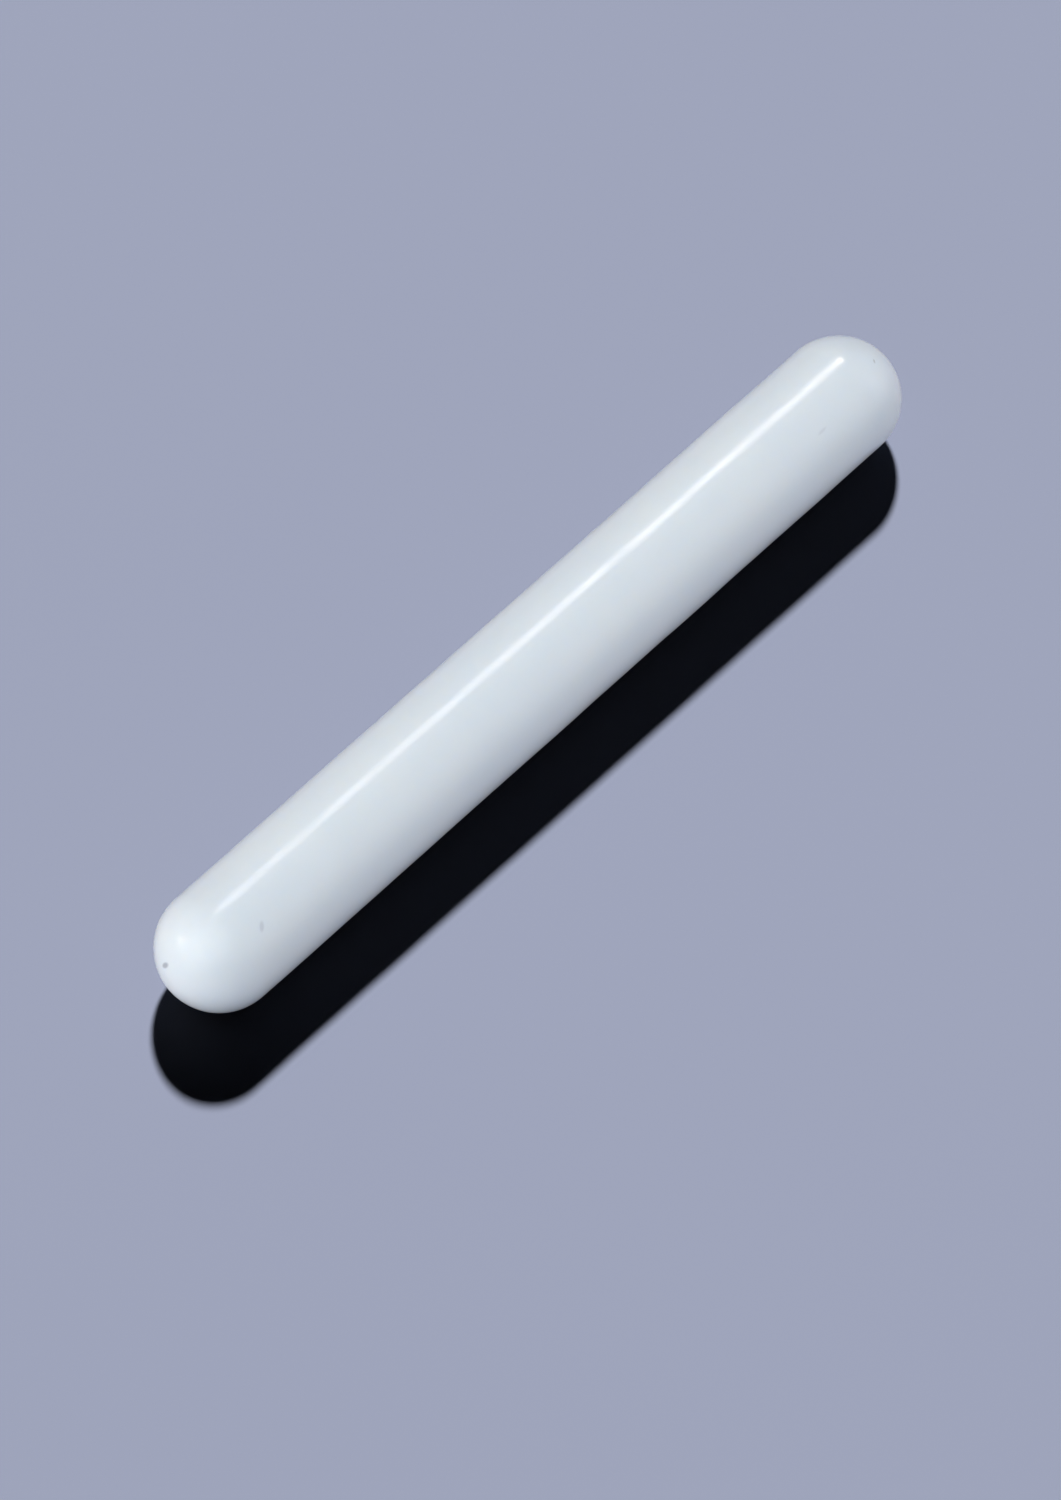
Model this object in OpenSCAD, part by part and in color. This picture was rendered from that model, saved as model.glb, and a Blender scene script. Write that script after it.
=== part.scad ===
// Magnetic stir bar: a cast magnet rod sealed inside a seamless, round-ended PTFE jacket.
// Units are millimetres. The bar lies along X with its centre at the origin and +Z up.

/* [Bar] */
// Overall length of the bar, from dome tip to dome tip
bar_length = 80; // [50:1:150]
// Diameter of the round bar
bar_d = 10; // [7:0.5:14]

/* [Jacket] */
// Thickness of the moulded jacket around the magnet's round side
side_wall = 1.5; // [0.5:0.1:2]
// Thickness of solid plastic beyond each end of the magnet, measured on the bar's axis
end_wall = 5; // [5:0.5:12]

/* [Magnet] */
// Width of the chamfer around both ends of the magnet rod
magnet_chamfer = 0.5; // [0.2:0.1:1]

/* [Quality] */
// Number of straight segments that stand for one full circle in a preview
circle_segments = 96; // [32:4:160]

/* [Hidden] */

// The hemispheres begin where the straight barrel ends.
bar_r = bar_d / 2;
dome_centre_x = bar_length / 2 - bar_r;

// The magnet fills the cavity that the jacket leaves: the plastic is sintered tightly onto it.
magnet_r = bar_r - side_wall;
magnet_half_length = bar_length / 2 - end_wall;
magnet_tip_r = magnet_r - magnet_chamfer;

$fn = circle_segments;

// Turns a half profile, drawn with its radius on X and its height on Y, about the bar's X axis.
module turned_about_x() {
    rotate([0, 90, 0])
        rotate_extrude()
            children();
}

// Half of the bar's outline: a straight side that runs smoothly into a quarter circle at each end.
module bar_half_profile() {
    translate([0, -dome_centre_x])
        square([bar_r, 2 * dome_centre_x]);
    for (end = [-1, 1])
        translate([0, end * dome_centre_x])
            intersection() {
                circle(r = bar_r);
                translate([0, end < 0 ? -bar_r : 0])
                    square(bar_r);
            }
}

// The outer form of the jacket, solid all through
module bar_form() {
    turned_about_x()
        bar_half_profile();
}

// The magnet rod's form, which the cavity in the jacket repeats exactly
module magnet_form() {
    turned_about_x()
        polygon([
            [0, -magnet_half_length],
            [magnet_tip_r, -magnet_half_length],
            [magnet_r, -magnet_half_length + magnet_chamfer],
            [magnet_r, magnet_half_length - magnet_chamfer],
            [magnet_tip_r, magnet_half_length],
            [0, magnet_half_length]
        ]);
}

// Seamless PTFE jacket, closed all round over the magnet
module ptfe_jacket() {
    color("whitesmoke")
        difference() {
            bar_form();
            magnet_form();
        }
}

// Cast Alnico rod, magnetised along its length
module magnet_core() {
    color("dimgray")
        magnet_form();
}

ptfe_jacket();
magnet_core();
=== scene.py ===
"""Looks of a magnetic stir bar: a seamless white jacket around a sealed magnet rod, in a plain studio."""

import math

import bmesh
import bpy
import numpy as np
from mathutils import Matrix, Vector


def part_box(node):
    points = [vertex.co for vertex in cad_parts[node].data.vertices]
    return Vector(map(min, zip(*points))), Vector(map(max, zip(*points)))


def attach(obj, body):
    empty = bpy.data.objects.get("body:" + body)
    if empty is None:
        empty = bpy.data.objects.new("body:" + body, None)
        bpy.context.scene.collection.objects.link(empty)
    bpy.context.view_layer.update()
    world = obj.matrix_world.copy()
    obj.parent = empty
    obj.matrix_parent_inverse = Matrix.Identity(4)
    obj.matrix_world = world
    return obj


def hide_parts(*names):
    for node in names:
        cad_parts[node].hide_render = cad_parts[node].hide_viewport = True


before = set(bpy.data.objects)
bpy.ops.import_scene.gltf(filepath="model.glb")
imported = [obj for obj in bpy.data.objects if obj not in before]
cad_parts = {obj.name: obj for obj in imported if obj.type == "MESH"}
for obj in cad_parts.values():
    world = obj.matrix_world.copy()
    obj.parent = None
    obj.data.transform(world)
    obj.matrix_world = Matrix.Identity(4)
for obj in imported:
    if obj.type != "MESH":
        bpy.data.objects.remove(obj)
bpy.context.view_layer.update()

MM = 0.001
jacket_low, jacket_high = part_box("ptfe_jacket")
BAR_LENGTH = jacket_high.x - jacket_low.x
BAR_RADIUS = (jacket_high.z - jacket_low.z) / 2
DOME_CENTRE = BAR_LENGTH / 2 - BAR_RADIUS

# The jacket's mesh: points around the bar, rings on each dome and steps along the straight barrel. Points of
# the cavity's wall closer than the weld distance become one, and edges sharper than the angle stay hard.
AROUND = 160
DOME_RINGS = 40
BARREL_STEPS = 300
WELD_DISTANCE = 0.001 * MM
HARD_EDGE_ANGLE = 30.0

# The plastic's own shape: shallow waves left by sintering, which only ever go inwards.
WAVE_SEED = 7
WAVE_COUNT = 28
WAVE_DEPTH = 0.03 * MM
SHORTEST_WAVE = 4.0 * MM
LONGEST_WAVE = 16.0 * MM

# The two tones that each material goes between.
PLASTIC_TONES = ((0.772, 0.852, 0.955), (0.792, 0.867, 0.965))
MAGNET_TONES = ((0.16, 0.155, 0.15), (0.34, 0.335, 0.33))
FLOOR_TONES = ((0.053, 0.058, 0.075), (0.055, 0.06, 0.077))
BACKDROP_TONES = ((0.345, 0.375, 0.5), (0.355, 0.385, 0.515))

# The plastic: the size of its cloudy patches and of its glossier ones, with the noise values that each runs
# between, then its roughness, its fine grain, how it bends light and how far each colour scatters inside it.
CLOUD_SIZE = 7.0 * MM
CLOUD_RANGE = (0.3, 0.7)
GLOSS_SIZE = 3.0 * MM
GLOSS_RANGE = (0.35, 0.65)
PLASTIC_ROUGHNESS = (0.16, 0.25)
GRAIN_SIZE = 0.35 * MM
GRAIN_DEPTH = 0.004 * MM
GRAIN_STRENGTH = 0.12
PLASTIC_IOR = 1.36
SCATTER_SCALE = 0.9 * MM
SCATTER_SHARES = (0.9, 1.0, 1.1)

# The marks of use: each one's place, as surface_spot takes it, its length and width, how strongly it shows
# and its colour. They are a grey speck and a light scuff at one end, and a faint rub and a short dash at the
# other.
MARKS = (
    ((0.0, -38.7, -67.5, 20.0), 0.6 * MM, 1.25 * MM, 0.58, (0.25, 0.28, 0.3)),
    ((0.025, 35.6, 0.0, 49.0), 1.15 * MM, 0.52 * MM, 0.25, (0.33, 0.35, 0.36)),
    ((0.924, 36.9, 0.0, 4.0), 1.3 * MM, 0.34 * MM, 0.15, (0.33, 0.35, 0.4)),
    ((1.0, 20.3, 28.2, 50.0), 0.6 * MM, 0.26 * MM, 0.4, (0.33, 0.35, 0.36)),
)
# How far from its centre a mark shows in full, as a share of the way to its edge.
MARK_CORE = 0.35

# The magnet's metal: its cast grain, its roughness, and the turns that grinding left, about 1.3 mm apart.
CAST_GRAIN_SIZE = 0.3 * MM
CAST_RANGE = (0.3, 0.7)
MAGNET_ROUGHNESS = (0.38, 0.6)
TURN_SCALE = 250.0
TURN_DISTORTION = 1.5
TURN_DEPTH = 0.01 * MM
TURN_STRENGTH = 0.3

# The studio: a round floor and a wall around its edge, in metres, with the size of the patches in their tones
# and the floor's finish.
FLOOR_RADIUS = 2.5
FLOOR_SEGMENTS = 96
FLOOR_PATCH = 90 * MM
FLOOR_ROUGHNESS = 0.9
FLOOR_SPECULAR = 0.1
WALL_HEIGHT = 2.0
WALL_PATCH = 600 * MM

# The colours of the lights.
AMBER = (1.16, 1.0, 0.87)
WARM = (1.11, 1.0, 0.89)
WHITE = (1.0, 1.0, 1.05)
COOL = (0.86, 1.0, 1.18)

# The far lights, each with its azimuth, elevation and spread in degrees, its strength and its colour. The bar
# has a narrow key and a wider one over it. The floor has its own key, whose direction and spread give the
# bar's shadow its place and its soft edge.
BAR_KEYS = (
    ("key", 38.5, 50.4, 9.0, 0.3, AMBER),
    ("key_edge", 41.5, 51.9, 16.0, 0.36, WHITE),
)
FLOOR_KEY = ("floor_key", 40.0, 48.3, 4.5, 24.7, WHITE)
# How far from the bar a far light hangs, in metres. Its light is the same from any distance.
FAR_LIGHT_DISTANCE = 1.0

# The soft lamps, which light the bar alone: each one's azimuth and elevation in degrees, its distance in
# metres, its spread in degrees as seen from the bar, its power at one metre in watts, and its colour.
SOFT_LAMPS = (
    ("glow", 138.0, 21.0, 1.0, 18.0, 0.8, AMBER),
    ("right", -47.0, 20.0, 1.0, 60.0, 2.85, AMBER),
    ("right_behind", -17.0, 20.0, 1.0, 60.0, 3.0, WHITE),
    ("low_left", 163.0, 20.0, 1.0, 60.0, 4.55, WARM),
    ("left", 178.0, 38.0, 2.5, 70.0, 3.4, WARM),
    ("high_left", 193.0, 62.0, 2.5, 70.0, 4.9, COOL),
)

# The camera: where it stands as seen from the bar, its lens in millimetres, and how far below the bar's
# centre and to the left of it the camera aims.
CAMERA_AZIMUTH = -136.98
CAMERA_ELEVATION = 55.9
CAMERA_DISTANCE = 10.194 * BAR_LENGTH
CAMERA_LENS = 253.5
AIM_BELOW = 0.0787 * BAR_LENGTH
AIM_LEFT = 0.0035 * BAR_LENGTH

# A colour mix node's sockets, by number, because its sockets for other kinds of data have the same names.
MIX_FACTOR = 0
MIX_UNDER = 6
MIX_OVER = 7
MIX_RESULT = 2


def direction(azimuth, elevation):
    """The unit vector towards a place in the studio. Azimuth 0 is along the bar, +X, and 90 is +Y."""
    flat = math.cos(math.radians(elevation))
    turn = math.radians(azimuth)
    return Vector((flat * math.cos(turn), flat * math.sin(turn), math.sin(math.radians(elevation))))


def add_object(name, data):
    """A new object of this data, put into the scene."""
    new_object = bpy.data.objects.new(name, data)
    bpy.context.scene.collection.objects.link(new_object)
    return new_object


def built_mesh(name, builder):
    """The finished mesh that the builder holds. The builder ends here."""
    mesh = bpy.data.meshes.new(name)
    builder.to_mesh(mesh)
    builder.free()
    return mesh


# ---------------------------------------------------------------- jacket form


def jacket_rings():
    """(x, radius) of each ring of the jacket, from the end at -X to the end at +X, tips left out."""
    rings = []
    for ring in range(1, DOME_RINGS + 1):
        turn = math.pi / 2 * ring / DOME_RINGS
        rings.append((-DOME_CENTRE - BAR_RADIUS * math.cos(turn), BAR_RADIUS * math.sin(turn)))
    for step in range(1, BARREL_STEPS):
        rings.append((-DOME_CENTRE + 2 * DOME_CENTRE * step / BARREL_STEPS, BAR_RADIUS))
    return rings + [(-x, radius) for x, radius in reversed(rings[:DOME_RINGS])]


def jacket_points():
    """The points of the true outer form: the tip at -X, the rings, then the tip at +X."""
    points = [(-BAR_LENGTH / 2, 0, 0)]
    for x, radius in jacket_rings():
        for step in range(AROUND):
            turn = 2 * math.pi * step / AROUND
            points.append((x, radius * math.cos(turn), radius * math.sin(turn)))
    points.append((BAR_LENGTH / 2, 0, 0))
    return np.array(points)


def jacket_faces(ring_count):
    """The faces of the outer form, each with its outside facing outwards."""
    faces = []
    last = 1 + ring_count * AROUND
    end = last - AROUND
    for step in range(AROUND):
        after = (step + 1) % AROUND
        faces.append((0, 1 + after, 1 + step))
        for ring in range(ring_count - 1):
            here = 1 + ring * AROUND
            there = here + AROUND
            faces.append((here + step, here + after, there + after, there + step))
        faces.append((end + step, end + after, last))
    return faces


def wave_depth(points):
    """How far below the true form each point lies, from 0 to WAVE_DEPTH: a sum of smooth waves."""
    draws = np.random.default_rng(WAVE_SEED)
    total = np.zeros(len(points))
    for _ in range(WAVE_COUNT):
        way = draws.normal(size=3)
        way /= np.linalg.norm(way)
        length = draws.uniform(SHORTEST_WAVE, LONGEST_WAVE)
        total += np.cos(2 * math.pi * points @ way / length + draws.uniform(0, 2 * math.pi))
    return WAVE_DEPTH * (0.5 + 0.5 * np.tanh(total / math.sqrt(WAVE_COUNT)))


def waved(points):
    """The outer form's points, moved inwards along their own normals by the waves."""
    centres = np.zeros_like(points)
    centres[:, 0] = points[:, 0].clip(-DOME_CENTRE, DOME_CENTRE)
    outwards = (points - centres) / BAR_RADIUS
    return points - outwards * wave_depth(points)[:, None]


def add_cavity(builder):
    """Adds the cavity's wall, which is the magnet rod's surface facing the other way."""
    cavity = bmesh.new()
    cavity.from_mesh(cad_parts["magnet_core"].data)
    bmesh.ops.remove_doubles(cavity, verts=cavity.verts, dist=WELD_DISTANCE)
    bmesh.ops.reverse_faces(cavity, faces=cavity.faces)
    wall = built_mesh("cavity_wall", cavity)
    builder.from_mesh(wall)
    bpy.data.meshes.remove(wall)


def make_jacket():
    """The seamless jacket: its waved outer form and, inside it, the cavity that the magnet fills."""
    outer = bpy.data.meshes.new("outer_form")
    outer.from_pydata(waved(jacket_points()).tolist(), [], jacket_faces(len(jacket_rings())))
    builder = bmesh.new()
    builder.from_mesh(outer)
    bpy.data.meshes.remove(outer)
    add_cavity(builder)
    mesh = built_mesh("stir_bar_jacket", builder)
    mesh.polygons.foreach_set("use_smooth", [True] * len(mesh.polygons))
    mesh.set_sharp_from_angle(angle=math.radians(HARD_EDGE_ANGLE))
    return add_object("stir_bar_jacket", mesh)


# ---------------------------------------------------------------- materials


def new_material(name):
    """A material with its node tree and its Principled shader."""
    material = bpy.data.materials.new(name)
    material.use_nodes = True
    return material, material.node_tree, material.node_tree.nodes["Principled BSDF"]


def add_node(tree, kind, inputs=None, **settings):
    """A new node with these settings and these values on its input sockets."""
    node = tree.nodes.new(kind)
    for name, value in settings.items():
        setattr(node, name, value)
    for name, value in (inputs or {}).items():
        node.inputs[name].default_value = value
    return node


def object_place(tree):
    """The socket that gives a point's own place in the part frame, in metres."""
    return add_node(tree, "ShaderNodeTexCoord").outputs["Object"]


def noise(tree, place, feature, detail=2.0, roughness=0.5):
    """Noise whose features are about this many metres across."""
    values = {"Scale": 1 / feature, "Detail": detail, "Roughness": roughness}
    node = add_node(tree, "ShaderNodeTexNoise", values)
    tree.links.new(place, node.inputs["Vector"])
    return node.outputs["Fac"]


def ranged(tree, value, source, target):
    """Value turned smoothly from the source's range into the target's, and held at its ends outside."""
    values = {"From Min": source[0], "From Max": source[1], "To Min": target[0], "To Max": target[1]}
    node = add_node(tree, "ShaderNodeMapRange", values, interpolation_type="SMOOTHSTEP")
    tree.links.new(value, node.inputs["Value"])
    return node.outputs["Result"]


def two_tone(tree, factor, tones):
    """A colour that goes from the first tone to the second with the factor."""
    ramp = add_node(tree, "ShaderNodeValToRGB")
    for element, tone in zip(ramp.color_ramp.elements, tones):
        element.color = (*tone, 1)
    tree.links.new(factor, ramp.inputs["Fac"])
    return ramp.outputs["Color"]


def over(tree, factor, under, colour):
    """Colour laid over the one under it, as far as the factor says."""
    mix = add_node(tree, "ShaderNodeMix", data_type="RGBA", clamp_factor=True)
    tree.links.new(factor, mix.inputs[MIX_FACTOR])
    tree.links.new(under, mix.inputs[MIX_UNDER])
    mix.inputs[MIX_OVER].default_value = (*colour, 1)
    return mix.outputs[MIX_RESULT]


def bumped(tree, height, depth, strength):
    """The surface's normal with this height on it, which reaches this many metres."""
    bump = add_node(tree, "ShaderNodeBump", {"Strength": strength, "Distance": depth})
    tree.links.new(height, bump.inputs["Height"])
    return bump.outputs["Normal"]


def surface_spot(along, about, tilt, slant):
    """A place on the jacket and its axes, as a matrix. Along is the share of the barrel from -X to +X, about
    the turn in degrees from +Z towards -Y, and tilt how far the surface leans from there towards +X, over a
    dome. The matrix's Z leaves the surface, and its X is the bar's direction turned by slant."""
    x = DOME_CENTRE * (2 * along - 1)
    out = Matrix.Rotation(math.radians(about), 3, "X") @ Matrix.Rotation(math.radians(tilt), 3, "Y")
    axes = out @ Matrix.Rotation(math.radians(slant), 3, "Z")
    place = Vector((x, 0, 0)) + out @ Vector((0, 0, BAR_RADIUS))
    return Matrix.Translation(place) @ axes.to_4x4()


def mark(tree, place, spot, length, width, strength):
    """A soft-edged oval mark of this length and width on the surface, as a factor from 0 to strength."""
    scale = (length / 2, width / 2, width)
    values = {"Location": spot.translation, "Rotation": spot.to_euler(), "Scale": scale}
    mapping = add_node(tree, "ShaderNodeMapping", values, vector_type="TEXTURE")
    tree.links.new(place, mapping.inputs["Vector"])
    reach = add_node(tree, "ShaderNodeVectorMath", operation="LENGTH")
    tree.links.new(mapping.outputs["Vector"], reach.inputs[0])
    return ranged(tree, reach.outputs["Value"], (MARK_CORE, 1.0), (strength, 0.0))


def plastic_material():
    """White sintered PTFE: milky, cloudy within, with a soft satin gloss and the few marks of use."""
    material, tree, shader = new_material("ptfe_white")
    place = object_place(tree)
    clouds = ranged(tree, noise(tree, place, CLOUD_SIZE, detail=3.0), CLOUD_RANGE, (0.0, 1.0))
    colour = two_tone(tree, clouds, PLASTIC_TONES)
    for spot, length, width, strength, tint in MARKS:
        factor = mark(tree, place, surface_spot(*spot), length, width, strength)
        colour = over(tree, factor, colour, tint)
    satin = noise(tree, place, GLOSS_SIZE, detail=3.0)
    roughness = ranged(tree, satin, GLOSS_RANGE, PLASTIC_ROUGHNESS)
    normal = bumped(tree, noise(tree, place, GRAIN_SIZE), GRAIN_DEPTH, GRAIN_STRENGTH)
    tree.links.new(colour, shader.inputs["Base Color"])
    tree.links.new(roughness, shader.inputs["Roughness"])
    tree.links.new(normal, shader.inputs["Normal"])
    shader.inputs["IOR"].default_value = PLASTIC_IOR
    shader.inputs["Subsurface Weight"].default_value = 1.0
    shader.inputs["Subsurface Radius"].default_value = SCATTER_SHARES
    shader.inputs["Subsurface Scale"].default_value = SCATTER_SCALE
    return material


def magnet_material():
    """Cast and ground Alnico: a grainy dark metal with fine turns of the grinding wheel around it."""
    material, tree, shader = new_material("alnico_cast")
    place = object_place(tree)
    grain = noise(tree, place, CAST_GRAIN_SIZE, detail=6.0, roughness=0.65)
    values = {"Scale": TURN_SCALE, "Distortion": TURN_DISTORTION, "Detail": 3.0}
    turns = add_node(tree, "ShaderNodeTexWave", values)
    tree.links.new(place, turns.inputs["Vector"])
    normal = bumped(tree, turns.outputs["Fac"], TURN_DEPTH, TURN_STRENGTH)
    tree.links.new(two_tone(tree, grain, MAGNET_TONES), shader.inputs["Base Color"])
    tree.links.new(ranged(tree, grain, CAST_RANGE, MAGNET_ROUGHNESS), shader.inputs["Roughness"])
    tree.links.new(normal, shader.inputs["Normal"])
    shader.inputs["Metallic"].default_value = 1.0
    return material


def floor_material():
    """A matt floor, dark in itself. Its strong light makes it look pale, with a nearly black shadow."""
    material, tree, shader = new_material("studio_floor")
    tone = two_tone(tree, noise(tree, object_place(tree), FLOOR_PATCH), FLOOR_TONES)
    tree.links.new(tone, shader.inputs["Base Color"])
    shader.inputs["Roughness"].default_value = FLOOR_ROUGHNESS
    shader.inputs["Specular IOR Level"].default_value = FLOOR_SPECULAR
    return material


def backdrop_material():
    """The backdrop's own light, as pale as the lit floor, so that the two run together."""
    material, tree, shader = new_material("studio_backdrop")
    tone = two_tone(tree, noise(tree, object_place(tree), WALL_PATCH, detail=1.0), BACKDROP_TONES)
    tree.links.new(tone, shader.inputs["Emission Color"])
    shader.inputs["Emission Strength"].default_value = 1.0
    shader.inputs["Base Color"].default_value = (0, 0, 0, 1)
    shader.inputs["Specular IOR Level"].default_value = 0.0
    return material


# ---------------------------------------------------------------- studio


def floor_outline(filled):
    """A builder that holds the floor's round edge, at the height that the bar lies on."""
    builder = bmesh.new()
    bmesh.ops.create_circle(
        builder,
        cap_ends=filled,
        segments=FLOOR_SEGMENTS,
        radius=FLOOR_RADIUS,
        matrix=Matrix.Translation((0, 0, jacket_low.z)),
    )
    return builder


def make_floor():
    """A round floor that the bar lies on."""
    floor = add_object("studio_floor", built_mesh("studio_floor", floor_outline(filled=True)))
    floor.data.materials.append(floor_material())
    return floor


def make_backdrop():
    """A pale wall around the floor's edge. Only the camera sees it, so it lights and shades nothing."""
    builder = floor_outline(filled=False)
    raised = bmesh.ops.extrude_edge_only(builder, edges=builder.edges[:])["geom"]
    top = [part for part in raised if isinstance(part, bmesh.types.BMVert)]
    bmesh.ops.translate(builder, verts=top, vec=(0, 0, WALL_HEIGHT))
    wall = add_object("studio_backdrop", built_mesh("studio_backdrop", builder))
    wall.data.materials.append(backdrop_material())
    wall.visible_diffuse = False
    wall.visible_glossy = False
    wall.visible_transmission = False
    wall.visible_shadow = False


def light_only(lamp, objects):
    """Makes the lamp light these objects and no others, as flags and grids do in a studio."""
    lit = bpy.data.collections.new(lamp.name + "_lit")
    for lit_object in objects:
        lit.objects.link(lit_object)
    lamp.light_linking.receiver_collection = lit


def hang_lamp(name, light, azimuth, elevation, distance, objects):
    """Hangs the light in this direction, this far from the bar's centre, and turns it towards the bar."""
    lamp = add_object(name, light)
    way = direction(azimuth, elevation)
    lamp.location = way * distance
    lamp.rotation_euler = way.to_track_quat("Z", "Y").to_euler()
    lamp.visible_camera = False
    light_only(lamp, objects)


def soft_light(name, azimuth, elevation, distance, spread, power, colour, objects):
    """A round soft light that spreads over this many degrees as seen from the bar. Its power is that of the
    same light at one metre, so its distance changes only how evenly it lights the bar's two ends."""
    light = bpy.data.lights.new(name, "AREA")
    light.color = colour
    light.shape = "DISK"
    light.size = 2 * distance * math.tan(math.radians(spread / 2))
    light.energy = power * distance**2
    hang_lamp(name, light, azimuth, elevation, distance, objects)


def far_light(name, azimuth, elevation, spread, strength, colour, objects):
    """A light so far away that it comes from the same direction everywhere."""
    light = bpy.data.lights.new(name, "SUN")
    light.color = colour
    light.angle = math.radians(spread)
    light.energy = strength
    hang_lamp(name, light, azimuth, elevation, FAR_LIGHT_DISTANCE, objects)


def light_studio(floor, bar):
    """The bar's keys, which draw its bright line, the floor's own key, which casts the shadow, and the soft
    lamps around the bar. The world gives no light."""
    for key in BAR_KEYS:
        far_light(*key, bar)
    far_light(*FLOOR_KEY, [floor])
    for lamp in SOFT_LAMPS:
        soft_light(*lamp, bar)
    world = bpy.data.worlds.new("studio")
    world.use_nodes = True
    world.node_tree.nodes["Background"].inputs["Strength"].default_value = 0.0
    bpy.context.scene.world = world
    bpy.context.scene.view_settings.view_transform = "Standard"


def place_camera():
    """The camera at the photograph's viewing angle, with the bar a little above the picture's middle."""
    back = direction(CAMERA_AZIMUTH, CAMERA_ELEVATION)
    right = direction(CAMERA_AZIMUTH + 90, 0)
    up = back.cross(right)
    aim = -up * AIM_BELOW - right * AIM_LEFT
    data = bpy.data.cameras.new("camera")
    data.lens = CAMERA_LENS
    camera = add_object("camera", data)
    camera.location = back * CAMERA_DISTANCE
    camera.rotation_euler = (aim - camera.location).to_track_quat("-Z", "Y").to_euler()
    bpy.context.scene.camera = camera


# ---------------------------------------------------------------- the scene

jacket = make_jacket()
jacket.data.materials.append(plastic_material())
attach(jacket, "root")
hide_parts("ptfe_jacket")

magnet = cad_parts["magnet_core"]
magnet_metal = magnet_material()
for slot in magnet.material_slots:
    slot.material = magnet_metal

make_backdrop()
light_studio(make_floor(), [jacket, magnet])
place_camera()
